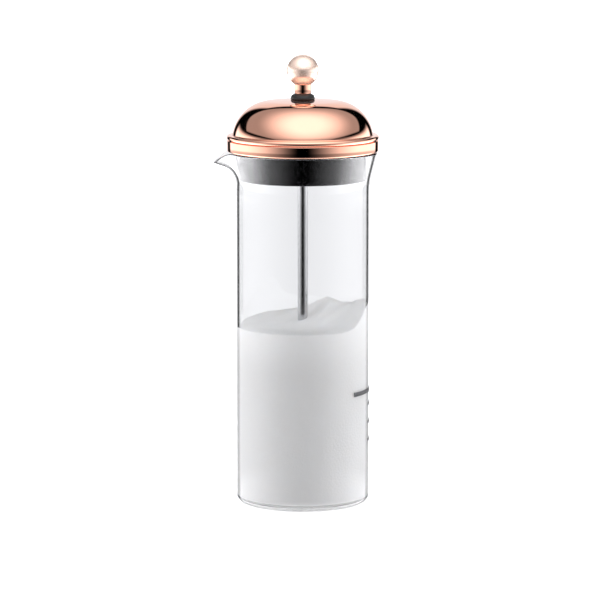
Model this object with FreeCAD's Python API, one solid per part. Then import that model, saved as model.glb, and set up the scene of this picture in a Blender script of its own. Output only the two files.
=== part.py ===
import FreeCAD
import Part
import math
import os

# Hand-pumped milk frother: glass beaker, copper dome lid and mesh plunger.
# Millimetres. +Z is up, the axis of the beaker is the Z axis, and Z = 0 is the table.
# The pouring spout points along -X.

# ---- glass beaker ----
GLASS_R = 33.45          # outside radius of the straight wall
GLASS_WALL = 1.2
GLASS_FLOOR = 3.0
BASE_ROUND = 3.2         # outside corner at the foot
FLOOR_ROUND = 2.2        # inside corner at the floor
NECK_Z = 155.5           # where the straight wall ends and the flared neck begins
FLARE_BEND_Z = 156.8
FLARE_BEND_R = 38.0
FLARE_LEAN = 14.0        # degrees from upright
FLARE_END_R = 37.22      # outside radius where the rim's rounding starts
SPOUT_BEND_Z = 161.3
SPOUT_BEND_R = 9.2
SPOUT_LEAN = 73.0
SPOUT_END_R = 44.1
SPOUT_WIDTH_DEG = 28.0   # half angle over which the wall swells outward
SPOUT_DIP_DEG = 21.0     # half angle over which the rim dips
SPOUT_STEP_DEG = 3.5
JOIN_TOLERANCE = 0.001   # edges of the neck and the wall this close are one edge
WALL_SAMPLES = 14

# ---- print on the glass ----
PRINT_DEPTH = 0.12
LEVEL_Z = 57.5
LEVEL_HEIGHT = 2.2
LEVEL_HALF_DEG = 40.0    # the fill line is centred on +X
TICK_Z = (32.1, 41.3, 50.5)
TICK_HEIGHT = 1.6
TICK_FROM_DEG = -12.0
TICK_TO_DEG = 12.0

# ---- lid shell ----
SHEET = 0.6
BAND_R = 38.0
CURL_Z = 177.55          # underside of the curled lower edge
CURL_ROUND = 0.8
CURL_INNER_R = 36.75
BAND_TOP_Z = 183.25
BAND_TOP_ROUND = 0.35
BEAD_R = 1.35
BEAD_CENTRE_R = 36.85
BEAD_CENTRE_Z = 184.6
BEAD_START_DEG = -70.5
DOME_FOOT_R = 35.2
DOME_FOOT_Z = 186.3
SHOULDER_R = 19.65
SHOULDER_FROM_DEG = 9.0
SHOULDER_TO_DEG = 85.5  # the crown above it is nearly flat

# ---- lid insert ----
SKIRT_BOTTOM_Z = 163.5
SKIRT_R = 32.0
SKIRT_INNER_R = 30.3
SKIRT_ROUND = 0.6
REST_Z = 177.5           # face that sits on the glass rim
REST_R = 36.4
FLANGE_R = 37.3
FLANGE_TOP_Z = 179.6
WEB_Z = 181.0
WEB_THICKNESS = 1.8
BOSS_R = 6.5
RIB_THICKNESS = 1.4
RIB_COUNT = 4
RIB_HEIGHT = 12.0
RIB_LOW_HEIGHT = 2.0

# ---- rod guide ----
ROD_R = 2.5
BUSH_BORE_R = 2.56
BUSH_R = 4.0
BUSH_BOTTOM_Z = 176.6
BUSH_FLANGE_R = 5.2
BUSH_FLANGE = 0.5
HOLE_GAP = 0.05
GUIDE_WASHER_R = 7.5
GUIDE_WASHER = 1.0
GUIDE_NUT_ACROSS = 12.0
GUIDE_NUT_HEIGHT = 3.0

# ---- knob ----
BALL_R = 8.0
BALL_Z = 217.9
NECK_R = 4.15
BUMPER_R = 6.05
BUMPER_Z = 203.5
BUMPER_RECESS_R = 5.5
BUMPER_RECESS_Z = 204.3
KNOB_NECK_Z = 206.4
STUD_R = 2.0             # threaded ends of the rod
ROD_TOP_SHOULDER_Z = 209.5
ROD_TOP_Z = 217.3

# ---- frothing head, from the bottom up ----
HEAD_Z = 5.5
HEAD_NUT_HEIGHT = 3.5
HEAD_NUT_ACROSS = 7.0
LOWER_WASHER_R = 4.5
LOWER_WASHER = 0.7
CROSS_PLATE_R = 29.1
CROSS_PLATE = 1.0
CROSS_SPOKES = 4
MESH_R = 31.2
MESH = 0.3
MESH_RIM_R = 31.8
MESH_RIM_INNER_R = 29.8
MESH_RIM_LIP = 0.4
SPACER_R = 29.3
SPACER_HEIGHT = 4.0
SPACER_SPOKES = 3
SPIRAL_PLATE = 0.8
SPIRAL_WALL_R = 29.2
SPIRAL_LIP_R = 29.9
SPIRAL_TOP = 3.6         # height of the turned-up edge and its lip
COIL_R = 1.2             # radius of the edge coil's turns
COIL_CENTRE_R = 30.6
UPPER_WASHER_R = 5.0
UPPER_WASHER = 0.8
JAM_NUT_ACROSS = 8.0
JAM_NUT_HEIGHT = 3.0

# Heights of the head's layers.
LOWER_WASHER_Z = HEAD_Z + HEAD_NUT_HEIGHT
CROSS_Z = LOWER_WASHER_Z + LOWER_WASHER
LOWER_MESH_Z = CROSS_Z + CROSS_PLATE
SPACER_Z = LOWER_MESH_Z + MESH
UPPER_MESH_Z = SPACER_Z + SPACER_HEIGHT
SPIRAL_Z = UPPER_MESH_Z + MESH
UPPER_WASHER_Z = SPIRAL_Z + SPIRAL_PLATE
JAM_NUT_Z = UPPER_WASHER_Z + UPPER_WASHER
ROD_LOW_SHOULDER_Z = JAM_NUT_Z + JAM_NUT_HEIGHT
COIL_Z = SPIRAL_Z + MESH_RIM_LIP + COIL_R + 0.1

AXIS = FreeCAD.Vector(0, 0, 1)
CENTRE = FreeCAD.Vector(0, 0, 0)


# ---- helpers: a profile lies in the XZ plane as (radius, height) ----

def point(r, z):
    return FreeCAD.Vector(r, 0, z)


def lines(*points):
    """Straight edges through the (r, z) points in turn."""
    corners = [point(r, z) for r, z in points]
    return [Part.makeLine(a, b) for a, b in zip(corners, corners[1:])]


def on_circle(r, z, radius, degrees):
    angle = math.radians(degrees)
    return r + radius * math.cos(angle), z + radius * math.sin(angle)


def arc(r, z, radius, from_deg, to_deg):
    """Arc about the centre (r, z), from one angle above the horizontal to another."""
    ends = (from_deg, 0.5 * (from_deg + to_deg), to_deg)
    return Part.Arc(*[point(*on_circle(r, z, radius, a)) for a in ends]).toShape()


def arc_through(a, b, c):
    return Part.Arc(point(*a), point(*b), point(*c)).toShape()


def turned(edges, degrees=360.0):
    """Solid of revolution of a closed profile about the Z axis."""
    face = Part.Face(Part.Wire(Part.__sortEdges__(edges)))
    return face.revolve(CENTRE, AXIS, degrees)


def ring(inner, outer, z, height):
    """Flat ring, or a disc where inner is 0."""
    disc = Part.makeCylinder(outer, height, point(0, z))
    if inner <= 0:
        return disc
    return disc.cut(Part.makeCylinder(inner, height, point(0, z)))


def spin(shape, degrees):
    copy = shape.copy()
    copy.rotate(CENTRE, AXIS, degrees)
    return copy


def hexagon_nut(across, bore, z, height):
    corner = across / math.sqrt(3)
    corners = [FreeCAD.Vector(*on_circle(0, 0, corner, 60 * i), z) for i in range(7)]
    prism = Part.Face(Part.makePolygon(corners)).extrude(AXIS * height)
    # A cone at each end rounds the corners off, as on a real nut.
    chamfer = corner - across / 2
    rounding = turned(lines(
        (0, z), (across / 2, z), (corner, z + chamfer * 0.6),
        (corner, z + height - chamfer * 0.6), (across / 2, z + height), (0, z + height), (0, z)))
    return prism.common(rounding).cut(Part.makeCylinder(bore, height, point(0, z)))


def save(name, shape):
    if not shape.isValid():
        raise ValueError(name + " is not a valid solid")
    shape.exportStep("parts/" + name + ".step")
    print(name, len(shape.Solids), "solid", round(shape.Volume / 1000, 3), "cm3")


# ---- glass beaker ----

def neck_path(bend_z, bend_r, lean, end_r):
    """Samples along the outside of the neck: upright, an arc, then straight out to end_r."""
    upright = bend_z - NECK_Z
    angle = math.radians(lean)
    turn = bend_r * angle
    arc_end_r = GLASS_R + bend_r * (1 - math.cos(angle))
    slope = (end_r - arc_end_r) / math.sin(angle)
    total = upright + turn + slope
    samples = []
    for i in range(WALL_SAMPLES + 1):
        s = total * i / WALL_SAMPLES
        if s <= upright:
            samples.append((GLASS_R, NECK_Z + s))
            continue
        swept = min(s - upright, turn) / bend_r
        beyond = max(s - upright - turn, 0.0)
        r = GLASS_R + bend_r * (1 - math.cos(swept)) + beyond * math.sin(angle)
        z = bend_z + bend_r * math.sin(swept) + beyond * math.cos(angle)
        samples.append((r, z))
    return samples


def swell(degrees, half_width):
    """Smooth bump: 1 at the spout's middle, 0 from half_width outward."""
    if abs(degrees) >= half_width:
        return 0.0
    return 0.5 * (1 + math.cos(math.pi * degrees / half_width))


def neck_samples(degrees):
    """Outside of the neck at an angle from the spout's middle."""
    flare = neck_path(FLARE_BEND_Z, FLARE_BEND_R, FLARE_LEAN, FLARE_END_R)
    spout = neck_path(SPOUT_BEND_Z, SPOUT_BEND_R, SPOUT_LEAN, SPOUT_END_R)
    out = swell(degrees, SPOUT_WIDTH_DEG)
    dip = swell(degrees, SPOUT_DIP_DEG)
    return [(a[0] + out * (b[0] - a[0]), a[1] + dip * (b[1] - a[1])) for a, b in zip(flare, spout)]


def inside_of(samples):
    """The samples moved inward by the wall's thickness, square to the wall."""
    moved = []
    last = len(samples) - 1
    for i, (r, z) in enumerate(samples):
        before = samples[max(i - 1, 0)]
        after = samples[min(i + 1, last)]
        dr = after[0] - before[0]
        dz = after[1] - before[1]
        if i == 0:
            dr = 0.0
        length = math.hypot(dr, dz)
        moved.append((r - GLASS_WALL * dz / length, z + GLASS_WALL * dr / length))
    return moved


def smooth_edge(samples):
    curve = Part.BSplineCurve()
    curve.interpolate([point(r, z) for r, z in samples])
    return curve.toShape()


def neck_section(degrees):
    """Closed section of the neck's wall with its rounded rim, turned to its place."""
    outer = neck_samples(degrees)
    inner = inside_of(outer)
    (r0, z0), (r1, z1) = outer[-1], inner[-1]
    # The rim is a half circle on the wall's end, so its crown lies half a wall beyond the middle.
    crown = ((r0 + r1 + z1 - z0) / 2, (z0 + z1 + r0 - r1) / 2)
    edges = [
        smooth_edge(outer),
        arc_through(outer[-1], crown, inner[-1]),
        smooth_edge(inner[::-1]),
        Part.makeLine(point(*inner[0]), point(*outer[0])),
    ]
    wire = Part.Wire(edges)
    wire.rotate(CENTRE, AXIS, 180.0 + degrees)
    return wire


def glass_beaker():
    inner_r = GLASS_R - GLASS_WALL
    foot_r = GLASS_R - BASE_ROUND
    floor_r = inner_r - FLOOR_ROUND
    cup = lines((0, 0), (foot_r, 0))
    cup.append(arc(foot_r, BASE_ROUND, BASE_ROUND, -90, 0))
    cup += lines((GLASS_R, BASE_ROUND), (GLASS_R, NECK_Z), (inner_r, NECK_Z),
                 (inner_r, GLASS_FLOOR + FLOOR_ROUND))
    cup.append(arc(floor_r, GLASS_FLOOR + FLOOR_ROUND, FLOOR_ROUND, 0, -90))
    cup += lines((floor_r, GLASS_FLOOR), (0, GLASS_FLOOR), (0, 0))
    body = turned(cup)
    plain = Part.Face(neck_section(SPOUT_WIDTH_DEG))
    neck = plain.revolve(CENTRE, AXIS, 360.0 - 2 * SPOUT_WIDTH_DEG)
    steps = round(2 * SPOUT_WIDTH_DEG / SPOUT_STEP_DEG)
    sections = [neck_section(-SPOUT_WIDTH_DEG + i * SPOUT_STEP_DEG) for i in range(steps + 1)]
    spout = Part.makeLoft(sections, True, False)
    return body.fuse([neck, spout], JOIN_TOLERANCE).removeSplitter()


def printed_band(z, height, from_deg, to_deg):
    """Thin layer of enamel on the outside of the glass."""
    band = turned(lines(
        (GLASS_R, z), (GLASS_R + PRINT_DEPTH, z), (GLASS_R + PRINT_DEPTH, z + height),
        (GLASS_R, z + height), (GLASS_R, z)), to_deg - from_deg)
    return spin(band, from_deg)


def level_mark():
    return printed_band(LEVEL_Z - LEVEL_HEIGHT / 2, LEVEL_HEIGHT, -LEVEL_HALF_DEG, LEVEL_HALF_DEG)


def scale_ticks():
    return Part.makeCompound([
        printed_band(z - TICK_HEIGHT / 2, TICK_HEIGHT, TICK_FROM_DEG, TICK_TO_DEG) for z in TICK_Z])


# ---- lid ----

def dome_radii():
    """Centre of the shoulder arc, radius of the crown arc and height of the apex."""
    start = math.radians(SHOULDER_FROM_DEG)
    end = math.radians(SHOULDER_TO_DEG)
    centre_r = DOME_FOOT_R - SHOULDER_R * math.cos(start)
    centre_z = DOME_FOOT_Z - SHOULDER_R * math.sin(start)
    top_r = centre_r + SHOULDER_R * math.cos(end)
    top_z = centre_z + SHOULDER_R * math.sin(end)
    crown_r = top_r / math.cos(end)
    apex_z = top_z + crown_r * (1 - math.sin(end))
    return centre_r, centre_z, crown_r, apex_z


def crown_arc(crown_r, apex_z, thickness, hole_r):
    radius = crown_r - thickness
    to_deg = math.degrees(math.acos(hole_r / radius))
    return radius, to_deg, on_circle(0, apex_z - crown_r, radius, to_deg)


def lid_dome():
    centre_r, centre_z, crown_r, apex_z = dome_radii()
    hole_r = BUSH_R + HOLE_GAP
    curl_r = BAND_R - CURL_ROUND
    curl_z = CURL_Z + CURL_ROUND
    corner_r = BAND_R - BAND_TOP_ROUND
    corner_z = BAND_TOP_Z - BAND_TOP_ROUND
    bead_start = on_circle(BEAD_CENTRE_R, BEAD_CENTRE_Z, BEAD_R, BEAD_START_DEG)
    bead_top = BEAD_CENTRE_Z + BEAD_R
    _, outer_to, outer_hole = crown_arc(crown_r, apex_z, 0.0, hole_r)
    inner_crown, inner_to, inner_hole = crown_arc(crown_r, apex_z, SHEET, hole_r)
    inner_shoulder = SHOULDER_R - SHEET
    inner_foot = on_circle(centre_r, centre_z, inner_shoulder, SHOULDER_FROM_DEG)
    ledge_under = bead_top - SHEET
    outside = lines((CURL_INNER_R, CURL_Z), (curl_r, CURL_Z))
    outside.append(arc(curl_r, curl_z, CURL_ROUND, -90, 0))
    outside += lines((BAND_R, curl_z), (BAND_R, corner_z))
    outside.append(arc(corner_r, corner_z, BAND_TOP_ROUND, 0, 90))
    outside += lines((corner_r, BAND_TOP_Z), bead_start)
    outside.append(arc(BEAD_CENTRE_R, BEAD_CENTRE_Z, BEAD_R, BEAD_START_DEG, 90))
    outside += lines((BEAD_CENTRE_R, bead_top), (DOME_FOOT_R + SHEET, bead_top), (DOME_FOOT_R, DOME_FOOT_Z))
    outside.append(arc(centre_r, centre_z, SHOULDER_R, SHOULDER_FROM_DEG, SHOULDER_TO_DEG))
    outside.append(arc(0, apex_z - crown_r, crown_r, SHOULDER_TO_DEG, outer_to))
    inside = lines(outer_hole, inner_hole)
    inside.append(arc(0, apex_z - crown_r, inner_crown, inner_to, SHOULDER_TO_DEG))
    inside.append(arc(centre_r, centre_z, inner_shoulder, SHOULDER_TO_DEG, SHOULDER_FROM_DEG))
    inside += lines(
        inner_foot, (inner_foot[0], ledge_under), (BEAD_CENTRE_R - BEAD_R + SHEET, ledge_under),
        (BEAD_CENTRE_R - SHEET, BAND_TOP_Z), (BAND_R - SHEET, BAND_TOP_Z - SHEET), (BAND_R - SHEET, curl_z))
    inside.append(arc(curl_r, curl_z, CURL_ROUND - SHEET, 0, -90))
    inside += lines((curl_r, CURL_Z + SHEET), (CURL_INNER_R, CURL_Z + SHEET), (CURL_INNER_R, CURL_Z))
    return turned(outside + inside)


def lid_insert():
    apex_z = dome_radii()[3]
    crown_r = dome_radii()[2]
    bore = BUSH_R + HOLE_GAP
    web_top = WEB_Z + WEB_THICKNESS
    boss_top = apex_z - SHEET - BOSS_R ** 2 / (2 * crown_r) - HOLE_GAP
    step_z = CURL_Z + SHEET + HOLE_GAP
    foot_r = SKIRT_R - SKIRT_ROUND
    profile = lines(
        (bore, WEB_Z), (SKIRT_INNER_R, WEB_Z), (SKIRT_INNER_R, SKIRT_BOTTOM_Z), (foot_r, SKIRT_BOTTOM_Z))
    profile.append(arc(foot_r, SKIRT_BOTTOM_Z + SKIRT_ROUND, SKIRT_ROUND, -90, 0))
    profile += lines(
        (SKIRT_R, SKIRT_BOTTOM_Z + SKIRT_ROUND), (SKIRT_R, REST_Z), (REST_R, REST_Z),
        (REST_R, step_z), (FLANGE_R, step_z), (FLANGE_R, FLANGE_TOP_Z), (SKIRT_R, FLANGE_TOP_Z),
        (SKIRT_R, web_top), (BOSS_R, web_top), (BOSS_R, boss_top), (bore, boss_top), (bore, WEB_Z))
    body = turned(profile)
    rib_top = web_top + RIB_HEIGHT
    rib_outline = [
        point(BOSS_R - 0.5, web_top - 0.5), point(SKIRT_R - 0.5, web_top - 0.5),
        point(SKIRT_R - 0.5, web_top + RIB_LOW_HEIGHT), point(BOSS_R - 0.5, rib_top),
        point(BOSS_R - 0.5, web_top - 0.5)]
    rib = Part.Face(Part.makePolygon(rib_outline)).extrude(FreeCAD.Vector(0, RIB_THICKNESS, 0))
    rib.translate(FreeCAD.Vector(0, -RIB_THICKNESS / 2, 0))
    ribs = [spin(rib, 45 + i * 360 / RIB_COUNT) for i in range(RIB_COUNT)]
    return body.fuse(ribs).removeSplitter()


def guide_bush():
    top = dome_radii()[3] + 0.02
    return turned(lines(
        (BUSH_BORE_R, BUSH_BOTTOM_Z), (BUSH_R, BUSH_BOTTOM_Z), (BUSH_R, top), (BUSH_FLANGE_R, top),
        (BUSH_FLANGE_R, top + BUSH_FLANGE), (BUSH_BORE_R, top + BUSH_FLANGE), (BUSH_BORE_R, BUSH_BOTTOM_Z)))


def guide_washer():
    return ring(BUSH_R + HOLE_GAP, GUIDE_WASHER_R, WEB_Z - GUIDE_WASHER, GUIDE_WASHER)


def guide_nut():
    z = WEB_Z - GUIDE_WASHER - GUIDE_NUT_HEIGHT
    return hexagon_nut(GUIDE_NUT_ACROSS, BUSH_R, z, GUIDE_NUT_HEIGHT)


# ---- rod and knob ----

def plunger_rod():
    tip = 0.5
    return turned(lines(
        (0, HEAD_Z + 0.6), (STUD_R - tip, HEAD_Z + 0.6), (STUD_R, HEAD_Z + 0.6 + tip),
        (STUD_R, ROD_LOW_SHOULDER_Z), (ROD_R, ROD_LOW_SHOULDER_Z), (ROD_R, ROD_TOP_SHOULDER_Z),
        (STUD_R, ROD_TOP_SHOULDER_Z), (STUD_R, ROD_TOP_Z - tip), (STUD_R - tip, ROD_TOP_Z),
        (0, ROD_TOP_Z), (0, HEAD_Z + 0.6)))


def ball_seat_z():
    """Height where the ball's surface has the ferrule's radius."""
    return BALL_Z - math.sqrt(BALL_R ** 2 - NECK_R ** 2)


def knob_ball():
    ball = Part.makeSphere(BALL_R, point(0, BALL_Z))
    under = Part.makeCylinder(BALL_R, BALL_R, point(0, ball_seat_z() - BALL_R))
    hole = Part.makeCylinder(STUD_R, ROD_TOP_Z - ball_seat_z() + 0.4, point(0, ball_seat_z()))
    return ball.cut([under, hole])


def knob_neck():
    return turned(lines(
        (ROD_R, KNOB_NECK_Z), (NECK_R, KNOB_NECK_Z), (NECK_R, ball_seat_z()), (STUD_R, ball_seat_z()),
        (STUD_R, ROD_TOP_SHOULDER_Z), (ROD_R, ROD_TOP_SHOULDER_Z), (ROD_R, KNOB_NECK_Z)))


def knob_bumper():
    foot = (BUMPER_R - 0.2, BUMPER_Z)
    bulge = (BUMPER_R, BUMPER_Z + 0.65)
    side = (BUMPER_R - 0.2, BUMPER_Z + 1.3)
    shoulder = (NECK_R + 1.1, KNOB_NECK_Z - 0.65)
    profile = lines((BUMPER_RECESS_R, BUMPER_RECESS_Z), (BUMPER_RECESS_R, BUMPER_Z), foot)
    profile.append(arc_through(foot, bulge, side))
    profile.append(arc_through(side, shoulder, (NECK_R, KNOB_NECK_Z)))
    profile += lines(
        (NECK_R, KNOB_NECK_Z), (ROD_R, KNOB_NECK_Z), (ROD_R, BUMPER_RECESS_Z),
        (BUMPER_RECESS_R, BUMPER_RECESS_Z))
    return turned(profile)


# ---- frothing head ----

def head_nut():
    """Acorn nut that closes the stack from below."""
    nut = hexagon_nut(HEAD_NUT_ACROSS, STUD_R, HEAD_Z, HEAD_NUT_HEIGHT)
    cap_r = HEAD_NUT_ACROSS / 2 - 0.3
    cap = turned([
        *lines((0, HEAD_Z + 0.6), (0, HEAD_Z - 1.2)),
        arc_through((0, HEAD_Z - 1.2), (cap_r * 0.72, HEAD_Z - 0.8), (cap_r, HEAD_Z)),
        *lines((cap_r, HEAD_Z), (cap_r, HEAD_Z + 0.6), (0, HEAD_Z + 0.6))])
    return nut.fuse(cap).removeSplitter()


def spoked_plate(z, height, rim_r, rim_width, hub_r, spokes, spoke_width):
    """Hub, spokes and rim cut from one flat plate, with a hole for the threaded stud."""
    rim = ring(rim_r - rim_width, rim_r, z, height)
    hub = ring(STUD_R, hub_r, z, height)
    length = rim_r - rim_width / 2 - hub_r * 0.8
    spoke = Part.makeBox(length, spoke_width, height, FreeCAD.Vector(hub_r * 0.8, -spoke_width / 2, z))
    return rim.fuse([hub] + [spin(spoke, i * 360 / spokes) for i in range(spokes)]).removeSplitter()


def cross_plate():
    return spoked_plate(CROSS_Z, CROSS_PLATE, CROSS_PLATE_R, 2.5, 7.0, CROSS_SPOKES, 4.0)


def mesh_spacer():
    return spoked_plate(SPACER_Z, SPACER_HEIGHT, SPACER_R, 1.5, 5.0, SPACER_SPOKES, 2.0)


def mesh_rim(mesh_z):
    """Folded rim that holds the edge of a screen."""
    low = mesh_z - MESH_RIM_LIP
    high = mesh_z + MESH + MESH_RIM_LIP
    return turned(lines(
        (MESH_RIM_INNER_R, low), (MESH_RIM_R, low), (MESH_RIM_R, high), (MESH_RIM_INNER_R, high),
        (MESH_RIM_INNER_R, mesh_z + MESH), (MESH_R, mesh_z + MESH), (MESH_R, mesh_z),
        (MESH_RIM_INNER_R, mesh_z), (MESH_RIM_INNER_R, low)))


def spiral_plate():
    """Perforated plate whose edge turns up into a lip that holds the coil."""
    sheet = SPIRAL_PLATE
    wall = SPIRAL_WALL_R - sheet
    top = SPIRAL_Z + SPIRAL_TOP
    plate = turned(lines(
        (STUD_R, SPIRAL_Z), (SPIRAL_WALL_R, SPIRAL_Z), (SPIRAL_WALL_R, top - sheet),
        (SPIRAL_LIP_R, top - sheet), (SPIRAL_LIP_R, top), (wall, top), (wall, SPIRAL_Z + sheet),
        (STUD_R, SPIRAL_Z + sheet), (STUD_R, SPIRAL_Z)))
    holes = []
    for circle_r, count in ((10.0, 6), (16.5, 12), (23.0, 18)):
        hole = Part.makeCylinder(1.8, sheet, point(circle_r, SPIRAL_Z))
        holes += [spin(hole, (i + 0.5) * 360 / count) for i in range(count)]
    return plate.cut(holes)


def edge_spring():
    """Plain ring the size of the closely wound coil."""
    return Part.makeTorus(COIL_CENTRE_R, COIL_R, point(0, COIL_Z))


def main():
    os.makedirs("parts", exist_ok=True)
    save("glass_beaker", glass_beaker())
    save("level_mark", level_mark())
    save("scale_ticks", scale_ticks())
    save("lid_dome", lid_dome())
    save("lid_insert", lid_insert())
    save("guide_bush", guide_bush())
    save("guide_washer", guide_washer())
    save("guide_nut", guide_nut())
    save("plunger_rod", plunger_rod())
    save("knob_ball", knob_ball())
    save("knob_neck", knob_neck())
    save("knob_bumper", knob_bumper())
    save("jam_nut", hexagon_nut(JAM_NUT_ACROSS, STUD_R, JAM_NUT_Z, JAM_NUT_HEIGHT))
    save("upper_washer", ring(STUD_R, UPPER_WASHER_R, UPPER_WASHER_Z, UPPER_WASHER))
    save("spiral_plate", spiral_plate())
    save("edge_spring", edge_spring())
    save("upper_mesh", ring(STUD_R, MESH_R, UPPER_MESH_Z, MESH))
    save("upper_mesh_rim", mesh_rim(UPPER_MESH_Z))
    save("mesh_spacer", mesh_spacer())
    save("lower_mesh", ring(STUD_R, MESH_R, LOWER_MESH_Z, MESH))
    save("lower_mesh_rim", mesh_rim(LOWER_MESH_Z))
    save("cross_plate", cross_plate())
    save("lower_washer", ring(STUD_R, LOWER_WASHER_R, LOWER_WASHER_Z, LOWER_WASHER))
    save("head_nut", head_nut())


main()
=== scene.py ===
import math

import bpy
import bmesh
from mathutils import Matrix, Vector


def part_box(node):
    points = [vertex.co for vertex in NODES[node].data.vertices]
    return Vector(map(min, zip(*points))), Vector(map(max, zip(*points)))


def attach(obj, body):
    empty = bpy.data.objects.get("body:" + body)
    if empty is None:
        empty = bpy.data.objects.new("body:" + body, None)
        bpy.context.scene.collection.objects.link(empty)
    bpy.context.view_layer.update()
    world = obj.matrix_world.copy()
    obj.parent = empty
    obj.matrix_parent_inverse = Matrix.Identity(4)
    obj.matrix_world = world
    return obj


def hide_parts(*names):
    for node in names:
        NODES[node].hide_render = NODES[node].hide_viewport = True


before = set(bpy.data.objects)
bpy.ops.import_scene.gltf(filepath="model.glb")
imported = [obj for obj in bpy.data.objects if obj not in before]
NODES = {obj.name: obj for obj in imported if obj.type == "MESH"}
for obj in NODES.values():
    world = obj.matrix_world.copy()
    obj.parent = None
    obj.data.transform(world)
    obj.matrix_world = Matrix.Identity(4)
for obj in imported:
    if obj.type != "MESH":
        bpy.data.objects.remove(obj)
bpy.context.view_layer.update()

# Hand-pumped milk frother: glass beaker, copper lid and mesh plunger, in a pale studio.
# Shapes are worked out in millimetres and turned into metres when a mesh is made.
# +Z is up, the beaker's axis is the Z axis, and the pouring spout points along -X.

MM = 0.001
SEGMENTS = 256           # round the large pieces
BALL_SEGMENTS = 128
SMALL_SEGMENTS = 96      # round the small ones
SHARP = math.radians(32)  # edges that turn more than this are shaded sharp
NEAR_AXIS = 1e-6         # a ring smaller than this is one point on the axis


def low(node):
    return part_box(node)[0] / MM


def high(node):
    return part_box(node)[1] / MM


# ---- dimensions read from the frame ----
PRINT_DEPTH = 0.12
GLASS_R = high("level_mark").x - PRINT_DEPTH
NECK_R = high("knob_neck").x
SEAT_Z = high("knob_neck").z
ROD_LOW_Z = low("plunger_rod").z
ROD_TOP_Z = high("plunger_rod").z
ROD_R = high("plunger_rod").x
BALL_R = high("knob_ball").x
BALL_Z = high("knob_ball").z - BALL_R

# ---- glass beaker ----
GLASS_WALL = 1.2
GLASS_FLOOR = 3.0
BASE_ROUND = 3.2
FLOOR_ROUND = 2.2
BASE_HOLLOW = 0.7        # how far the foot is pressed in at its middle
HOLLOW_SHARES = (0, 0.2, 0.4, 0.6, 0.8, 0.9, 1)
FOOT_RING_R = 27.0
FLOOR_RING_R = 14.0
WALL_SHARES = (0.2, 0.4, 0.6, 0.8)
NECK_Z = 155.5
FLARE_BEND_Z, FLARE_BEND_R, FLARE_LEAN, FLARE_END_R = 156.8, 38.0, 14.0, 37.22
SPOUT_BEND_Z, SPOUT_BEND_R, SPOUT_LEAN, SPOUT_END_R = 161.3, 9.2, 73.0, 44.09
SPOUT_WIDTH_DEG = 28.0   # half angle over which the wall swells outward
SPOUT_DIP_DEG = 21.0     # half angle over which the rim dips
NECK_STEPS = 40

# ---- lid ----
SHEET = 0.6
BAND_R = 38.0
CURL_Z, CURL_ROUND, CURL_INNER_R = 177.55, 0.8, 36.75
BAND_TOP_Z, BAND_TOP_ROUND = 183.25, 0.35
BEAD_R, BEAD_CENTRE_R, BEAD_CENTRE_Z, BEAD_START_DEG = 1.35, 36.845, 184.6, -70.5
DOME_FOOT_R, DOME_FOOT_Z = 35.2, 186.3
DOME_FILLET = 0.35
SHOULDER_R, SHOULDER_FROM_DEG, SHOULDER_TO_DEG = 19.65, 9.0, 85.5
BUSH_HOLE_R = 4.05
BUSH_BORE_R, BUSH_R, BUSH_FLANGE = 2.56, 4.0, 0.5

# ---- plunger ----
STUD_R = 2.0
ROD_LOW_SHOULDER_Z = 19.9
ROD_TOP_SHOULDER_Z = 209.5
ROD_CHAMFER = 0.2
ROD_TIP = 0.5
THREAD_PITCH = 0.7
THREAD_DEPTH = 0.36
THREAD_ROWS = 6          # rings of points to one pitch
THREAD_RELIEF = 0.3      # plain length between a thread and its shoulder
BALL_BORE_GAP = 0.4
BUMPER_RECESS = 0.8
COIL_CENTRE_R = 30.6
COIL_WIRE_R = 0.3
COIL_TURNS = 176
COIL_STEPS = 14          # points to one turn
MESH_PITCH = 1.0
MESH_WIRE_R = 0.11
MESH_WAVE = 0.07         # how far a wire goes over and under the ones it crosses
MESH_WIRE_END_R = 30.9
MESH_HOLE_R = 2.15
MESH_RIM_INNER_R = 29.8

# ---- milk, which only dresses the set ----
MILK_OVERLAP = 0.03      # the milk reaches into the glass, so no film of air is seen
MILK_R = GLASS_R - GLASS_WALL + MILK_OVERLAP
MILK_Z = 91.0
MILK_FLOOR_Z = GLASS_FLOOR - 0.05
MILK_RINGS = 64

# ---- colours of the copper, clean and hazy ----
COPPER, COPPER_HAZE = (0.94, 0.51, 0.37), (0.91, 0.49, 0.355)
BALL_COPPER, BALL_COPPER_HAZE = (0.98, 0.77, 0.65), (0.96, 0.74, 0.62)

# ---- set ----
FLOOR_GLOW = 0.35
FLOOR_HALF = 80000.0
CAMERA_AT = (-1.4, -1650, 350)
CAMERA_DOWN_DEG = 8.54
CAMERA_LENS = 198.8


# ---- mesh helpers ----

def link_mesh(name, verts, faces):
    """Object with this mesh, its faces turned outward and shaded smooth up to sharp edges."""
    mesh = bpy.data.meshes.new(name)
    mesh.from_pydata([Vector(v) * MM for v in verts], [], faces)
    shaped = bmesh.new()
    shaped.from_mesh(mesh)
    bmesh.ops.recalc_face_normals(shaped, faces=shaped.faces)
    shaped.to_mesh(mesh)
    shaped.free()
    mesh.shade_smooth()
    mesh.set_sharp_from_angle(angle=SHARP)
    piece = bpy.data.objects.new(name, mesh)
    bpy.context.scene.collection.objects.link(piece)
    return piece


def arc(r, z, radius, from_deg, to_deg, steps=12):
    """Points along an arc of a profile, both ends included."""
    turns = [math.radians(from_deg + (to_deg - from_deg) * i / steps) for i in range(steps + 1)]
    return [(r + radius * math.cos(a), z + radius * math.sin(a)) for a in turns]


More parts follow.
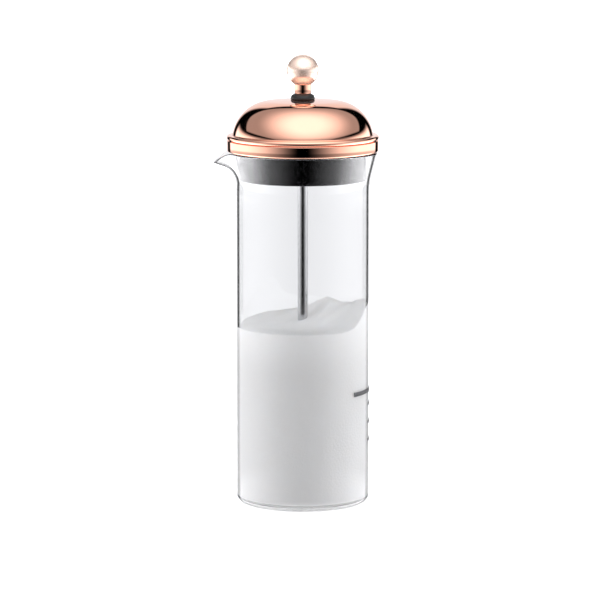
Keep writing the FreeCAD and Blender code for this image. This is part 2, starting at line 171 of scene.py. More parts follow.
def rounded(*corners, steps=4):
    """Closed profile through (r, z, rounding) corners, each rounded by its own radius."""
    path = []
    for i, (r, z, rounding) in enumerate(corners):
        here = Vector((r, z))
        if rounding == 0:
            path.append(tuple(here))
            continue
        before = (Vector(corners[i - 1][:2]) - here).normalized()
        after = (Vector(corners[(i + 1) % len(corners)][:2]) - here).normalized()
        half = before.angle(after) / 2
        centre = here + (before + after).normalized() * (rounding / math.sin(half))
        start = here + before * (rounding / math.tan(half)) - centre
        end = here + after * (rounding / math.tan(half)) - centre
        for k in range(steps + 1):
            spoke = start.normalized().slerp(end.normalized(), k / steps)
            path.append(tuple(centre + spoke * rounding))
    return path


def skin(name, rings, closed):
    """Surface through rings of points. A ring of one point is a pole."""
    verts, index = [], []
    for ring_points in rings:
        index.append(range(len(verts), len(verts) + len(ring_points)))
        verts += ring_points
    count = max(len(ring_points) for ring_points in rings)
    pairs = list(zip(index, index[1:]))
    if closed:
        pairs.append((index[-1], index[0]))
    faces = []
    for a, b in pairs:
        for k in range(count):
            n = (k + 1) % count
            corners = (a[k % len(a)], a[n % len(a)], b[n % len(b)], b[k % len(b)])
            face = list(dict.fromkeys(corners))
            if len(face) > 2:
                faces.append(face)
    return link_mesh(name, verts, faces)


def ring_of(r, z, segments):
    if r < NEAR_AXIS:
        return [(0, 0, z)]
    turns = [2 * math.pi * k / segments for k in range(segments)]
    return [(r * math.cos(a), r * math.sin(a), z) for a in turns]


def lathe(name, profile, segments=SMALL_SEGMENTS, closed=True):
    """Surface of revolution. An open profile starts and ends on the axis."""
    return skin(name, [ring_of(r, z, segments) for r, z in profile], closed)


def tube(points, radius, sides, closed=False):
    """Vertices and faces of a round wire along the points."""
    verts, faces = [], []
    count = len(points)
    for i, here in enumerate(points):
        before = points[i - 1] if closed or i else here
        after = points[(i + 1) % count] if closed or i < count - 1 else here
        along = (after - before).normalized()
        side = along.cross(Vector((0, 0, 1))).normalized()
        up = side.cross(along)
        for k in range(sides):
            turn = 2 * math.pi * (k + 0.5) / sides
            verts.append(here + (side * math.cos(turn) + up * math.sin(turn)) * radius)
    for i in range(count if closed else count - 1):
        a, b = i * sides, (i + 1) % count * sides
        for k in range(sides):
            n = (k + 1) % sides
            faces.append((a + k, a + n, b + n, b + k))
    if not closed:
        faces.append(tuple(range(sides))[::-1])
        faces.append(tuple(range((count - 1) * sides, count * sides)))
    return verts, faces


def bevelled(node, width):
    """Copy of a CAD node with its edges broken, as on the finished metal or plastic."""
    mesh = NODES[node].data.copy()
    shaped = bmesh.new()
    shaped.from_mesh(mesh)
    bmesh.ops.remove_doubles(shaped, verts=shaped.verts, dist=0.002 * MM)
    bmesh.ops.dissolve_limit(
        shaped, angle_limit=math.radians(0.4), verts=shaped.verts, edges=shaped.edges)
    shaped.to_mesh(mesh)
    shaped.free()
    mesh.materials.clear()
    mesh.shade_smooth()
    piece = bpy.data.objects.new(node + "_finished", mesh)
    bpy.context.scene.collection.objects.link(piece)
    bevel = piece.modifiers.new("broken_edges", "BEVEL")
    bevel.limit_method = "ANGLE"
    bevel.angle_limit = SHARP
    bevel.width = width * MM
    bevel.segments = 2
    bevel.use_clamp_overlap = True
    bpy.context.view_layer.update()
    whole = piece.evaluated_get(bpy.context.evaluated_depsgraph_get())
    finished = bpy.data.meshes.new_from_object(whole)
    piece.modifiers.clear()
    piece.data = finished
    finished.set_sharp_from_angle(angle=SHARP)
    return piece


def fit(piece, node, body, material):
    """Puts a piece in a CAD node's place: its body and its finish."""
    piece.data.materials.clear()
    piece.data.materials.append(material)
    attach(piece, body)
    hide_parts(node)
    return piece


# ---- node helpers ----

class Number:
    """A number worked out by shader nodes, so that formulas read as arithmetic."""

    def __init__(self, tree, socket):
        self.tree = tree
        self.socket = socket

    def math(self, operation, *others):
        node = self.tree.nodes.new("ShaderNodeMath")
        node.operation = operation
        for place, value in enumerate((self, *others)):
            if isinstance(value, Number):
                self.tree.links.new(value.socket, node.inputs[place])
            else:
                node.inputs[place].default_value = value
        return Number(self.tree, node.outputs[0])

    def __add__(self, other):
        return self.math("ADD", other)

    def __sub__(self, other):
        return self.math("SUBTRACT", other)

    def __mul__(self, other):
        return self.math("MULTIPLY", other)

    def __rsub__(self, other):
        return self.math("MULTIPLY", -1.0).math("ADD", other)

    __radd__ = __add__
    __rmul__ = __mul__

    def rise(self, start, end):
        """0 up to start, 1 from end, smooth between them."""
        node = self.tree.nodes.new("ShaderNodeMapRange")
        node.interpolation_type = "SMOOTHSTEP"
        self.tree.links.new(self.socket, node.inputs["Value"])
        node.inputs["From Min"].default_value = start
        node.inputs["From Max"].default_value = end
        return Number(self.tree, node.outputs["Result"])

    def between(self, start, end, soft):
        """1 between start and end, fading to 0 over the soft width outside them."""
        return self.rise(start - soft, start) * (1 - self.rise(end, end + soft))


def add(tree, kind, **values):
    """New node with these inputs set. A socket given as a value is linked to its input."""
    node = tree.nodes.new(kind)
    for name, value in values.items():
        place = node.inputs[name.replace("_", " ")]
        if isinstance(value, Number):
            value = value.socket
        if isinstance(value, bpy.types.NodeSocket):
            tree.links.new(value, place)
        else:
            place.default_value = value
    return node


def material(name, **constants):
    """New material and its tree and shader, with constants set on the shader's own sockets."""
    made = bpy.data.materials.new(name)
    made.use_nodes = True
    shader = made.node_tree.nodes["Principled BSDF"]
    for key, value in constants.items():
        shader.inputs[key.replace("_", " ")].default_value = value
    return made, made.node_tree, shader


def place_of(tree, stretch=(1, 1, 1)):
    """Position on the piece in metres, stretched along its axes."""
    where = tree.nodes.new("ShaderNodeTexCoord").outputs["Object"]
    return add(tree, "ShaderNodeMapping", Vector=where, Scale=stretch).outputs["Vector"]


def noise(tree, where, scale, detail=3.0, roughness=0.5):
    node = add(tree, "ShaderNodeTexNoise", Vector=where, Scale=scale, Detail=detail, Roughness=roughness)
    return Number(tree, node.outputs["Fac"])


def ramp(tree, value, *stops):
    """Colour or grey through (position, colour) stops."""
    node = tree.nodes.new("ShaderNodeValToRGB")
    tree.links.new(value.socket, node.inputs["Fac"])
    while len(node.color_ramp.elements) < len(stops):
        node.color_ramp.elements.new(1.0)
    for element, (position, colour) in zip(node.color_ramp.elements, stops):
        element.position = position
        element.color = (*colour, 1.0)
    return node.outputs["Color"]


def bump(tree, shader, height, strength, distance):
    node = add(tree, "ShaderNodeBump", Height=height, Strength=strength, Distance=distance * MM)
    tree.links.new(node.outputs["Normal"], shader.inputs["Normal"])


# ---- materials ----

def clear_glass():
    """Borosilicate glass with the faintest smears."""
    made, tree, shader = material(
        "clear_glass", Transmission_Weight=1.0, IOR=1.47, Base_Color=(0.975, 0.982, 0.982, 1))
    smears = noise(tree, place_of(tree, (1, 1, 0.4)), 60, 4, 0.6).rise(0.55, 0.8)
    tree.links.new((smears * 0.012).socket, shader.inputs["Roughness"])
    waves = noise(tree, place_of(tree, (1, 1, 0.25)), 25, 1)
    bump(tree, shader, waves, 0.04, 1.0)
    return made


def copper(name, tone, hazy_tone, smooth, metal=1.0):
    """Copper plate with handling haze and hairline scratches."""
    made, tree, shader = material(name, Metallic=metal)
    where = place_of(tree)
    haze = noise(tree, where, 70, 4, 0.6)
    tint = ramp(tree, haze, (0.3, tone), (0.75, hazy_tone))
    tree.links.new(tint, shader.inputs["Base Color"])
    scratches = noise(tree, place_of(tree, (1, 1, 14)), 900, 2, 0.7)
    polish = smooth + haze.rise(0.4, 0.8) * 0.045 + scratches.rise(0.62, 0.8) * 0.05
    tree.links.new(polish.socket, shader.inputs["Roughness"])
    bump(tree, shader, scratches, 0.02, 0.01)
    return made


def black_plastic():
    """Moulded black plastic, smooth with a fine grain."""
    made, tree, shader = material("black_plastic", IOR=1.5)
    where = place_of(tree)
    cloud = noise(tree, where, 120, 3)
    tone = ramp(tree, cloud, (0.3, (0.006, 0.006, 0.0065)), (0.8, (0.010, 0.010, 0.011)))
    tree.links.new(tone, shader.inputs["Base Color"])
    grain = noise(tree, where, 2600, 3, 0.6)
    rough = 0.13 + noise(tree, where, 90, 3) * 0.08 + grain * 0.05
    tree.links.new(rough.socket, shader.inputs["Roughness"])
    bump(tree, shader, grain, 0.05, 0.02)
    return made


def black_rubber():
    """Soft black rubber with a matt bloom."""
    made, tree, shader = material("black_rubber", IOR=1.5)
    where = place_of(tree)
    bloom = noise(tree, where, 400, 4, 0.6)
    tone = ramp(tree, bloom, (0.3, (0.006, 0.006, 0.006)), (0.8, (0.013, 0.013, 0.013)))
    tree.links.new(tone, shader.inputs["Base Color"])
    tree.links.new((0.3 + bloom * 0.22).socket, shader.inputs["Roughness"])
    bump(tree, shader, noise(tree, where, 5200, 2), 0.08, 0.02)
    return made


def steel(name, polish, grain, tone=(0.66, 0.66, 0.67)):
    """Stainless steel. The grain stretches its marks along the piece's axes."""
    made, tree, shader = material(name, Metallic=1.0)
    marks = noise(tree, place_of(tree, grain), 800, 4, 0.7)
    stain = noise(tree, place_of(tree), 110, 3)
    dull = tuple(0.9 * c for c in tone)
    tree.links.new(ramp(tree, stain, (0.3, tone), (0.8, dull)), shader.inputs["Base Color"])
    tree.links.new((polish + marks * 0.12 + stain * 0.04).socket, shader.inputs["Roughness"])
    bump(tree, shader, marks, 0.05, 0.02)
    return made


def enamel_print():
    """Dark grey enamel fired on the glass, uneven where it is thin."""
    made, tree, shader = material("enamel_print", IOR=1.5)
    shader.inputs["Specular IOR Level"].default_value = 0.15
    where = place_of(tree)
    patches = noise(tree, where, 700, 3, 0.7)
    tone = ramp(tree, patches, (0.35, (0.03, 0.03, 0.032)), (0.62, (0.075, 0.075, 0.078)))
    tree.links.new(tone, shader.inputs["Base Color"])
    tree.links.new((0.3 + patches * 0.3).socket, shader.inputs["Roughness"])
    bump(tree, shader, patches, 0.15, 0.03)
    return made


def milk_white():
    """Milk with fine bubbles, whiter toward its surface: partly whiter froth, partly painted light from
    above, with painted shade lower down.
    """
    made, tree, shader = material(
        "milk", Subsurface_Weight=0.25, Subsurface_Radius=(0.6, 0.55, 0.5), IOR=1.35)
    shader.inputs["Subsurface Scale"].default_value = 0.004
    where = place_of(tree)
    height = Number(tree, add(tree, "ShaderNodeSeparateXYZ", Vector=where).outputs["Z"])
    # Painted light and shade: the milk is painted grey low down and whiter toward its surface. The
    # whiter froth is real; the rest of the rise stands in for light falling from above.
    froth_and_top_light = height.rise(0.066, 0.100) * 0.9 + noise(tree, where, 40, 3) * 0.1
    tone = ramp(tree, froth_and_top_light, (0.0, (0.73, 0.73, 0.725)), (1.0, (0.90, 0.90, 0.895)))
    tree.links.new(tone, shader.inputs["Base Color"])
    bubbles = add(tree, "ShaderNodeTexVoronoi", Vector=where, Scale=900.0)
    froth = Number(tree, bubbles.outputs["Distance"]) + noise(tree, where, 300, 4) * 0.6
    tree.links.new((0.45 + froth * 0.1).socket, shader.inputs["Roughness"])
    bump(tree, shader, froth, 0.25, 0.3)
    return made


def floor_white():
    """Diffuse paper that also glows a little, as an overlit sweep does."""
    made, tree, shader = material("floor", Roughness=0.9)
    shader.inputs["Specular IOR Level"].default_value = 0.0
    where = place_of(tree)
    tone = ramp(tree, noise(tree, where, 6, 3), (0.3, (0.80, 0.80, 0.80)), (0.8, (0.81, 0.81, 0.81)))
    tree.links.new(tone, shader.inputs["Base Color"])
    shader.inputs["Emission Color"].default_value = (1, 1, 1, 1)
    shader.inputs["Emission Strength"].default_value = FLOOR_GLOW
    return made


# ---- glass beaker ----

def neck_path(bend_z, bend_r, lean, end_r):
    """Samples along the outside of the neck: upright, an arc, then straight out to end_r."""
    upright = bend_z - NECK_Z
    angle = math.radians(lean)
    turn = bend_r * angle
    arc_end_r = GLASS_R + bend_r * (1 - math.cos(angle))
    total = upright + turn + (end_r - arc_end_r) / math.sin(angle)
    samples = []
    for i in range(NECK_STEPS + 1):
        s = total * i / NECK_STEPS
        swept = min(max(s - upright, 0.0), turn) / bend_r
        beyond = max(s - upright - turn, 0.0)
        r = GLASS_R + bend_r * (1 - math.cos(swept)) + beyond * math.sin(angle)
        z = min(NECK_Z + s, bend_z) + bend_r * math.sin(swept) + beyond * math.cos(angle)
        samples.append((r, z))
    return samples


def swell(degrees, half_width):
    """Smooth bump: 1 at the spout's middle, 0 from half_width outward."""
    if abs(degrees) >= half_width:
        return 0.0
    return 0.5 * (1 + math.cos(math.pi * degrees / half_width))


def inside_of(samples):
    """The samples moved inward by the wall's thickness, square to the wall."""
    moved = []
    for i, (r, z) in enumerate(samples):
        before = samples[max(i - 1, 0)]
        after = samples[min(i + 1, len(samples) - 1)]
        dr = after[0] - before[0] if i else 0.0
        dz = after[1] - before[1]
        length = math.hypot(dr, dz)
        moved.append((r - GLASS_WALL * dz / length, z + GLASS_WALL * dr / length))
    return moved


def rim_round(outer_end, inner_end, steps=10):
    """Half circle over the end of the wall, without its two ends."""
    centre = (Vector(outer_end) + Vector(inner_end)) / 2
    start = Vector(outer_end) - centre
    across = Vector((-start.y, start.x))
    turns = [math.pi * k / steps for k in range(1, steps)]
    return [tuple(centre + start * math.cos(a) + across * math.sin(a)) for a in turns]


def wall_section(degrees, flare, spout):
    """The beaker's section at an angle from the spout's middle, from its foot to its floor."""
    out = swell(degrees, SPOUT_WIDTH_DEG)
    dip = swell(degrees, SPOUT_DIP_DEG)
    outer = [(a[0] + out * (b[0] - a[0]), a[1] + dip * (b[1] - a[1])) for a, b in zip(flare, spout)]
    inner = inside_of(outer)
    inner_r = GLASS_R - GLASS_WALL
    hollow = [(FOOT_RING_R * t, BASE_HOLLOW * (1 - t * t) ** 2) for t in HOLLOW_SHARES]
    foot = arc(GLASS_R - BASE_ROUND, BASE_ROUND, BASE_ROUND, -90, 0)
    wall = [NECK_Z * t for t in WALL_SHARES]
    section = hollow + foot + [(GLASS_R, z) for z in wall] + outer
    section += rim_round(outer[-1], inner[-1]) + inner[::-1]
    section += [(inner_r, z) for z in reversed(wall)]
    section += arc(inner_r - FLOOR_ROUND, GLASS_FLOOR + FLOOR_ROUND, FLOOR_ROUND, 0, -90)
    return section + [(FLOOR_RING_R, GLASS_FLOOR), (0, GLASS_FLOOR)]


def glass_beaker():
    flare = neck_path(FLARE_BEND_Z, FLARE_BEND_R, FLARE_LEAN, FLARE_END_R)
    spout = neck_path(SPOUT_BEND_Z, SPOUT_BEND_R, SPOUT_LEAN, SPOUT_END_R)
    turns = [360.0 * k / SEGMENTS for k in range(SEGMENTS)]
    columns = [wall_section((turn + 180) % 360 - 180, flare, spout) for turn in turns]
    rings = []
    for row in range(len(columns[0])):
        if columns[0][row][0] < NEAR_AXIS:
            rings.append([(0, 0, columns[0][row][1])])
            continue
        ring_points = []
        for turn, column in zip(turns, columns):
            r, z = column[row]
            around = math.radians(180 + turn)
            ring_points.append((r * math.cos(around), r * math.sin(around), z))
        rings.append(ring_points)
    return skin("beaker_glass", rings, closed=False)


# ---- lid ----

def dome_arcs():
    """Centre (r, z) of the shoulder arc, radius of the crown arc and height of the apex."""
    start = math.radians(SHOULDER_FROM_DEG)
    end = math.radians(SHOULDER_TO_DEG)
    centre_r = DOME_FOOT_R - SHOULDER_R * math.cos(start)
    centre_z = DOME_FOOT_Z - SHOULDER_R * math.sin(start)
    crown_r = (centre_r + SHOULDER_R * math.cos(end)) / math.cos(end)
    apex_z = centre_z + SHOULDER_R * math.sin(end) + crown_r * (1 - math.sin(end))
    return centre_r, centre_z, crown_r, apex_z


def lid_dome():
    centre_r, centre_z, crown_r, apex_z = dome_arcs()
    crown_z = apex_z - crown_r
    curl_r = BAND_R - CURL_ROUND
    curl_z = CURL_Z + CURL_ROUND
    corner = (BAND_R - BAND_TOP_ROUND, BAND_TOP_Z - BAND_TOP_ROUND)
    bead_top = BEAD_CENTRE_Z + BEAD_R
    ledge_under = bead_top - SHEET
    inner_shoulder = SHOULDER_R - SHEET
    inner_crown = crown_r - SHEET
    hole_deg = math.degrees(math.acos(BUSH_HOLE_R / crown_r))
    inner_hole_deg = math.degrees(math.acos(BUSH_HOLE_R / inner_crown))
    inner_foot = arc(centre_r, centre_z, inner_shoulder, SHOULDER_FROM_DEG, SHOULDER_FROM_DEG, 1)[0]
    outside = [(CURL_INNER_R, CURL_Z)]
    outside += arc(curl_r, curl_z, CURL_ROUND, -90, 0, 10)
    outside += arc(*corner, BAND_TOP_ROUND, 0, 90, 6)
    outside += arc(BEAD_CENTRE_R, BEAD_CENTRE_Z, BEAD_R, BEAD_START_DEG, 90, 20)
    outside += arc(DOME_FOOT_R + SHEET, bead_top + DOME_FILLET, DOME_FILLET, -90, -176, 6)
    outside += arc(centre_r, centre_z, SHOULDER_R, SHOULDER_FROM_DEG, SHOULDER_TO_DEG, 48)
    outside += arc(0, crown_z, crown_r, SHOULDER_TO_DEG, hole_deg, 24)[1:]
    inside = arc(0, crown_z, inner_crown, inner_hole_deg, SHOULDER_TO_DEG, 24)
    inside += arc(centre_r, centre_z, inner_shoulder, SHOULDER_TO_DEG, SHOULDER_FROM_DEG, 48)[1:]
    inside += [
        (inner_foot[0], ledge_under), (BEAD_CENTRE_R - BEAD_R + SHEET, ledge_under),
        (BEAD_CENTRE_R - SHEET, BAND_TOP_Z), (BAND_R - SHEET, BAND_TOP_Z - SHEET)]
    inside += arc(curl_r, curl_z, CURL_ROUND - SHEET, 0, -90, 4)
    inside.append((CURL_INNER_R, CURL_Z + SHEET))
    return lathe("lid_shell", outside + inside, SEGMENTS)


# ---- plunger ----

def thread_rows(from_z, to_z):
    """Rings of a screw thread between two heights, with plain rings at both ends."""
    steps = round((to_z - from_z) / THREAD_PITCH * THREAD_ROWS)
    rows = []
    for i in range(steps + 1):
        z = from_z + (to_z - from_z) * i / steps
        fade = min(1.0, i / THREAD_ROWS, (steps - i) / THREAD_ROWS)
        row = []
        for k in range(SMALL_SEGMENTS):
            phase = (z / THREAD_PITCH - k / SMALL_SEGMENTS) % 1
            r = STUD_R - THREAD_DEPTH * fade * abs(2 * phase - 1)
            turn = 2 * math.pi * k / SMALL_SEGMENTS
            row.append((r * math.cos(turn), r * math.sin(turn), z))
        rows.append(row)
    return rows


def plunger_rod():
    low_z, top_z = ROD_LOW_SHOULDER_Z, ROD_TOP_SHOULDER_Z
    low_end = [(0, ROD_LOW_Z), (STUD_R - ROD_TIP, ROD_LOW_Z)]
    shaft = [
        (STUD_R, low_z), (ROD_R - ROD_CHAMFER, low_z), (ROD_R, low_z + ROD_CHAMFER),
        (ROD_R, top_z - ROD_CHAMFER), (ROD_R - ROD_CHAMFER, top_z), (STUD_R, top_z)]
    top_end = [(STUD_R - ROD_TIP, ROD_TOP_Z), (0, ROD_TOP_Z)]
    rings = [ring_of(r, z, SMALL_SEGMENTS) for r, z in low_end]
    rings += thread_rows(ROD_LOW_Z + ROD_TIP, low_z - THREAD_RELIEF)
    rings += [ring_of(r, z, SMALL_SEGMENTS) for r, z in shaft]
    rings += thread_rows(top_z + THREAD_RELIEF, ROD_TOP_Z - ROD_TIP)
    rings += [ring_of(r, z, SMALL_SEGMENTS) for r, z in top_end]
    return skin("rod", rings, closed=False)


def knob_ball():
    bore_top = ROD_TOP_Z + BALL_BORE_GAP
    seat_deg = math.degrees(math.asin((SEAT_Z - BALL_Z) / BALL_R))
    profile = [(0, bore_top), (STUD_R, bore_top), (STUD_R, SEAT_Z)]
    profile += arc(0, BALL_Z, BALL_R, seat_deg, 90, 72)[:-1] + [(0, BALL_Z + BALL_R)]
    return lathe("ball_of_knob", profile, BALL_SEGMENTS, closed=False)


def knob_neck():
    low_z = low("knob_neck").z
    return lathe("ferrule_of_knob", rounded(
        (ROD_R, low_z, 0), (NECK_R, low_z, 0.25), (NECK_R, SEAT_Z, 0.12), (STUD_R, SEAT_Z, 0),
        (STUD_R, ROD_TOP_SHOULDER_Z, 0), (ROD_R, ROD_TOP_SHOULDER_Z, 0)))


def knob_bumper():
    """Bell-shaped rubber foot of the knob, hollow underneath round the bush's flange."""
    low_z, top_z = low("knob_bumper").z, high("knob_bumper").z
    outer_r = high("knob_bumper").x
    recess_z = low_z + BUMPER_RECESS
    return lathe("bumper_of_knob", rounded(
        (outer_r - 0.55, recess_z, 0), (outer_r - 0.55, low_z, 0.12), (outer_r - 0.1, low_z, 0.2),
        (outer_r, low_z + 0.8, 0.8), (outer_r - 0.45, top_z - 0.8, 0.8), (NECK_R + 0.05, top_z, 0.2),
        (ROD_R, top_z, 0), (ROD_R, recess_z, 0), steps=6))


def edge_coil():
    """Closely wound spring bent into a ring."""
    z = (low("edge_spring").z + high("edge_spring").z) / 2
    turn_r = (high("edge_spring").z - low("edge_spring").z) / 2 - COIL_WIRE_R
    count = COIL_TURNS * COIL_STEPS
    points = []
    for i in range(count):
        around = 2 * math.pi * i / count
        wound = around * COIL_TURNS
        r = COIL_CENTRE_R + turn_r * math.cos(wound)
        lift = turn_r * math.sin(wound)
        points.append(Vector((r * math.cos(around), r * math.sin(around), z + lift)))
    return link_mesh("coil_at_edge", *tube(points, COIL_WIRE_R, 7, closed=True))


def woven_screen(name, node):
    """Plain weave of round wires, cut to a disc with a hole for the rod."""
    middle = (low(node).z + high(node).z) / 2
    count = int(MESH_WIRE_END_R / MESH_PITCH)
    step = MESH_PITCH / 3
    verts, faces = [], []
    for k in range(-count, count + 1):
        across = k * MESH_PITCH
        reach = math.sqrt(MESH_WIRE_END_R ** 2 - across ** 2)
        gap = math.sqrt(max(MESH_HOLE_R ** 2 - across ** 2, 0.0))
        spans = [(-reach, reach)] if gap == 0 else [(-reach, -gap), (gap, reach)]
        for start, end in spans:
            pieces = max(2, round((end - start) / step))
            for along_x in (True, False):
                points = []
                for i in range(pieces + 1):
                    s = start + (end - start) * i / pieces
                    lift = MESH_WAVE * math.cos(math.pi * (s / MESH_PITCH + k))
                    if along_x:
                        points.append(Vector((s, across, middle + lift)))
                    else:
                        points.append(Vector((across, s, middle - lift)))
                wire_verts, wire_faces = tube(points, MESH_WIRE_R, 5)
                faces += [tuple(i + len(verts) for i in face) for face in wire_faces]
                verts += wire_verts
    return link_mesh(name, verts, faces)


def screen_rim(name, node, mesh_node):
    """Folded channel that clips the edge of a screen."""
    low_z, top_z = low(node).z, high(node).z
    outer_r, inner_r = high(node).x, MESH_RIM_INNER_R
    under, over = low(mesh_node).z, high(mesh_node).z
    slot_r = high(mesh_node).x
    return lathe(name, rounded(
        (inner_r, low_z, 0.12), (outer_r, low_z, 0.3), (outer_r, top_z, 0.3),
        (inner_r, top_z, 0.12), (inner_r, over, 0.08), (slot_r, over, 0), (slot_r, under, 0),
        (inner_r, under, 0.08)), SEGMENTS)


def flat_ring(name, node, inner_r, round_r):
    """Stamped washer with rounded edges."""
    low_z, top_z, outer_r = low(node).z, high(node).z, high(node).x
    return lathe(name, rounded(
        (inner_r, low_z, round_r), (outer_r, low_z, round_r), (outer_r, top_z, round_r),
        (inner_r, top_z, round_r)))


def guide_bush():
    low_z, top_z = low("guide_bush").z, high("guide_bush").z
    flange_r, flange_z = high("guide_bush").x, top_z - BUSH_FLANGE
    return lathe("bush_of_guide", rounded(
        (BUSH_BORE_R, low_z, 0.2), (BUSH_R, low_z, 0.3), (BUSH_R, flange_z, 0),
        (flange_r, flange_z, 0.1), (flange_r, top_z, 0.25), (BUSH_BORE_R, top_z, 0.25)))


# ---- set: milk, floor, studio and camera ----

def milk_height(x, y):
    """Surface of the milk: level at the front left, froth heaped at the back right."""
    away = math.hypot(x, y) / MILK_R
    heap = 9.0 * math.exp(-((x - 13) ** 2 / 150 + (y - 12) ** 2 / 300))
    wall = 12.0 * max(0.0, (x - 16) / 16) ** 2 * (1 if y > -12 else max(0.0, (y + 26) / 14))
    back = 3.0 * max(0.0, y / MILK_R)
    lumps = 0.5 * math.sin(x * 0.31 + 1.3) * math.cos(y * 0.27 - 0.6)
    lumps += 0.25 * math.sin(x * 0.83 - y * 0.6)
    edge = 1.6 * away ** 16      # the surface turns down where it meets the glass
    return MILK_Z + heap + wall + back + lumps * min(1.0, max(heap, 1.0) / 4) - edge


def milk():
    rings = [[(0, 0, MILK_FLOOR_Z)]]
    corner = arc(MILK_R - FLOOR_ROUND, MILK_FLOOR_Z + FLOOR_ROUND, FLOOR_ROUND, -90, 0)
    rings += [ring_of(r, z, SEGMENTS) for r, z in corner]
    turns = [2 * math.pi * k / SEGMENTS for k in range(SEGMENTS)]
    for i in range(MILK_RINGS):
        r = MILK_R * (1 - i / MILK_RINGS)
        flat = [(r * math.cos(a), r * math.sin(a)) for a in turns]
        rings.append([(x, y, milk_height(x, y)) for x, y in flat])
    rings.append([(0, 0, milk_height(0, 0))])
    made = skin("milk", rings, closed=False)
    made.data.materials.append(milk_white())


def floor():
    corners = [(FLOOR_HALF * a, FLOOR_HALF * b, 0) for a, b in ((-1, -1), (1, -1), (1, 1), (-1, 1))]
    made = link_mesh("floor", corners, [(0, 1, 2, 3)])
    made.data.materials.append(floor_white())
    made.visible_glossy = False
    made.visible_transmission = False


def studio():
    """Soft boxes at the sides and overhead, dark flags between them, worked out by direction.

    The angle across is 0 toward the front (-Y) and 180 toward the back, alike on both sides.
    The angle height is 0 at the horizon. All angles are in degrees."""
    world = bpy.data.worlds.new("studio")
    world.use_nodes = True
    bpy.context.scene.world = world
    tree = world.node_tree
    tree.nodes.clear()
    direction = tree.nodes.new("ShaderNodeTexCoord").outputs["Generated"]
    parts = add(tree, "ShaderNodeSeparateXYZ", Vector=direction)
    x, y, z = [Number(tree, parts.outputs[axis]) for axis in "XYZ"]
    degree = 180 / math.pi
    across = x.math("ABSOLUTE").math("ARCTAN2", y * -1.0) * degree
    height = z.math("ARCSINE") * degree

    # The side boxes reach down to the table, where they are brighter at the side than in front.
    side_box = 2.1 * across.rise(6, 105) * (1 - across.rise(139, 147)) * (1 - height.rise(4, 14))
    near_table = 1 - height.rise(-20, -12)
    side_box = side_box * (1 + near_table * (1.1 * across.rise(55, 100) - 0.3))
    # A dim seam runs round just under the horizon, where the table meets the boxes.
    side_box = side_box * (1 - 0.55 * height.between(-12, -7.2, 1.4))
    below = 1.05 * (1 - height.rise(-62, -48))
    back_wall = across.rise(156, 164) * (1 - height.rise(37, 42))
    # The ceiling panel is a rectangle seen from below, so its edges are straight in x/z and y/z.
    upward = z.math("MAXIMUM", 0.02)
    sideways = x.math("ABSOLUTE").math("DIVIDE", upward)
    backward = y.math("DIVIDE", upward)
    ceiling = 0.45 * (1 - sideways.rise(2.9, 3.6)) * (1 - backward.rise(1.15, 1.4))
    ceiling = ceiling * height.rise(9, 17) * (1 - (backward - 0.45 * sideways).rise(0.65, 0.8))
    # The overhead lamp hangs in front and fades out round its aim.
    aim = Vector((0.09, -0.5, 0.86)).normalized()
    facing = x * aim.x + y * aim.y + z * aim.z
    off_axis = facing.math("ARCCOSINE") * degree
    overhead = 1.5 * (1 - off_axis.rise(16, 72)) * height.rise(8, 22)
    mirrored = side_box.math("MAXIMUM", below).math("MAXIMUM", back_wall) + ceiling + overhead
    # Matt surfaces are lit by plain soft boxes, with no dark flags between them.
    scattered = 0.5 + 4.0 * across.rise(20, 110) * (1 - across.rise(95, 120))
    scattered = scattered + 1.2 * height.rise(10, 60)
    path = tree.nodes.new("ShaderNodeLightPath")
    matt = Number(tree, path.outputs["Diffuse Depth"]).rise(0.2, 0.8)
    # A path that has only passed through glass sees the plain wall, whichever way it looks.
    turned = Number(tree, path.outputs["Glossy Depth"]).rise(0.2, 0.8)
    straight = (1 - turned) * (1 - matt)
    light = straight + (1 - straight) * (mirrored * (1 - matt) + scattered * matt)
    glow = ramp(tree, light * 0.2, (0.0, (0, 0, 0)), (1.0, (5.0, 4.97, 5.1)))

    seen = add(tree, "ShaderNodeBackground", Color=(1, 1, 1, 1), Strength=1.0)
    lit = add(tree, "ShaderNodeBackground", Color=glow, Strength=1.0)
    pick = tree.nodes.new("ShaderNodeMixShader")
    tree.links.new(path.outputs["Is Camera Ray"], pick.inputs[0])
    tree.links.new(lit.outputs[0], pick.inputs[1])
    tree.links.new(seen.outputs[0], pick.inputs[2])
    out = tree.nodes.new("ShaderNodeOutputWorld")
    tree.links.new(pick.outputs[0], out.inputs["Surface"])


def camera():
    """Straight on from the front, a little above, with a long lens."""
    data = bpy.data.cameras.new("camera")
    data.lens = CAMERA_LENS
    data.sensor_width = 36.0
    data.clip_end = 200.0
    made = bpy.data.objects.new("camera", data)
    made.location = Vector(CAMERA_AT) * MM
    made.rotation_euler = (math.radians(90 - CAMERA_DOWN_DEG), 0, 0)
    bpy.context.scene.collection.objects.link(made)
    bpy.context.scene.camera = made


# ---- assembly ----

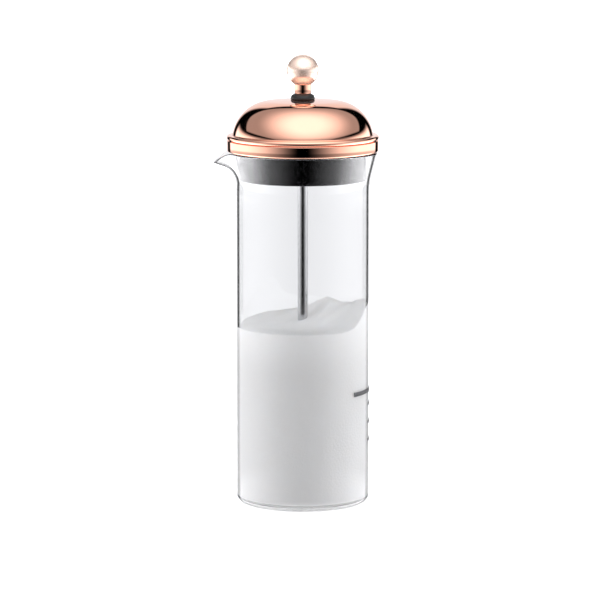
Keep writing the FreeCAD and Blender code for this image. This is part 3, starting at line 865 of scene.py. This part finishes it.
def build_object():
    glass = clear_glass()
    plate = copper("copper_mirror", COPPER, COPPER_HAZE, 0.035)
    satin = copper("copper_satin", BALL_COPPER, BALL_COPPER_HAZE, 0.25, 0.75)
    plastic = black_plastic()
    rubber = black_rubber()
    polished = steel("polished_steel", 0.06, (1, 1, 0.05))
    brushed = steel("brushed_steel", 0.2, (1, 0.06, 1))
    wire = steel("steel_mesh", 0.16, (1, 1, 1), (0.6, 0.6, 0.61))
    enamel = enamel_print()

    fit(glass_beaker(), "glass_beaker", "beaker", glass)
    for node in ("level_mark", "scale_ticks"):
        NODES[node].data.materials.clear()
        NODES[node].data.materials.append(enamel)
    fit(lid_dome(), "lid_dome", "lid", plate)
    fit(bevelled("lid_insert", 0.25), "lid_insert", "lid", plastic)
    fit(guide_bush(), "guide_bush", "lid", plastic)
    washer = flat_ring("washer_of_guide", "guide_washer", BUSH_HOLE_R, 0.15)
    fit(washer, "guide_washer", "lid", brushed)
    fit(bevelled("guide_nut", 0.15), "guide_nut", "lid", polished)

    fit(plunger_rod(), "plunger_rod", "plunger", polished)
    fit(knob_ball(), "knob_ball", "plunger", satin)
    fit(knob_neck(), "knob_neck", "plunger", plate)
    fit(knob_bumper(), "knob_bumper", "plunger", rubber)
    fit(bevelled("jam_nut", 0.12), "jam_nut", "plunger", polished)
    washer = flat_ring("washer_above_head", "upper_washer", STUD_R, 0.12)
    fit(washer, "upper_washer", "plunger", brushed)
    fit(bevelled("spiral_plate", 0.12), "spiral_plate", "plunger", brushed)
    fit(edge_coil(), "edge_spring", "plunger", polished)
    for level in ("upper", "lower"):
        screen = woven_screen(level + "_screen", level + "_mesh")
        fit(screen, level + "_mesh", "plunger", wire)
        rim = screen_rim(level + "_screen_rim", level + "_mesh_rim", level + "_mesh")
        fit(rim, level + "_mesh_rim", "plunger", brushed)
    fit(bevelled("mesh_spacer", 0.15), "mesh_spacer", "plunger", brushed)
    fit(bevelled("cross_plate", 0.15), "cross_plate", "plunger", brushed)
    washer = flat_ring("washer_below_head", "lower_washer", STUD_R, 0.12)
    fit(washer, "lower_washer", "plunger", brushed)
    fit(bevelled("head_nut", 0.12), "head_nut", "plunger", polished)


build_object()
milk()
floor()
studio()
camera()
bpy.context.scene.view_settings.view_transform = "Standard"
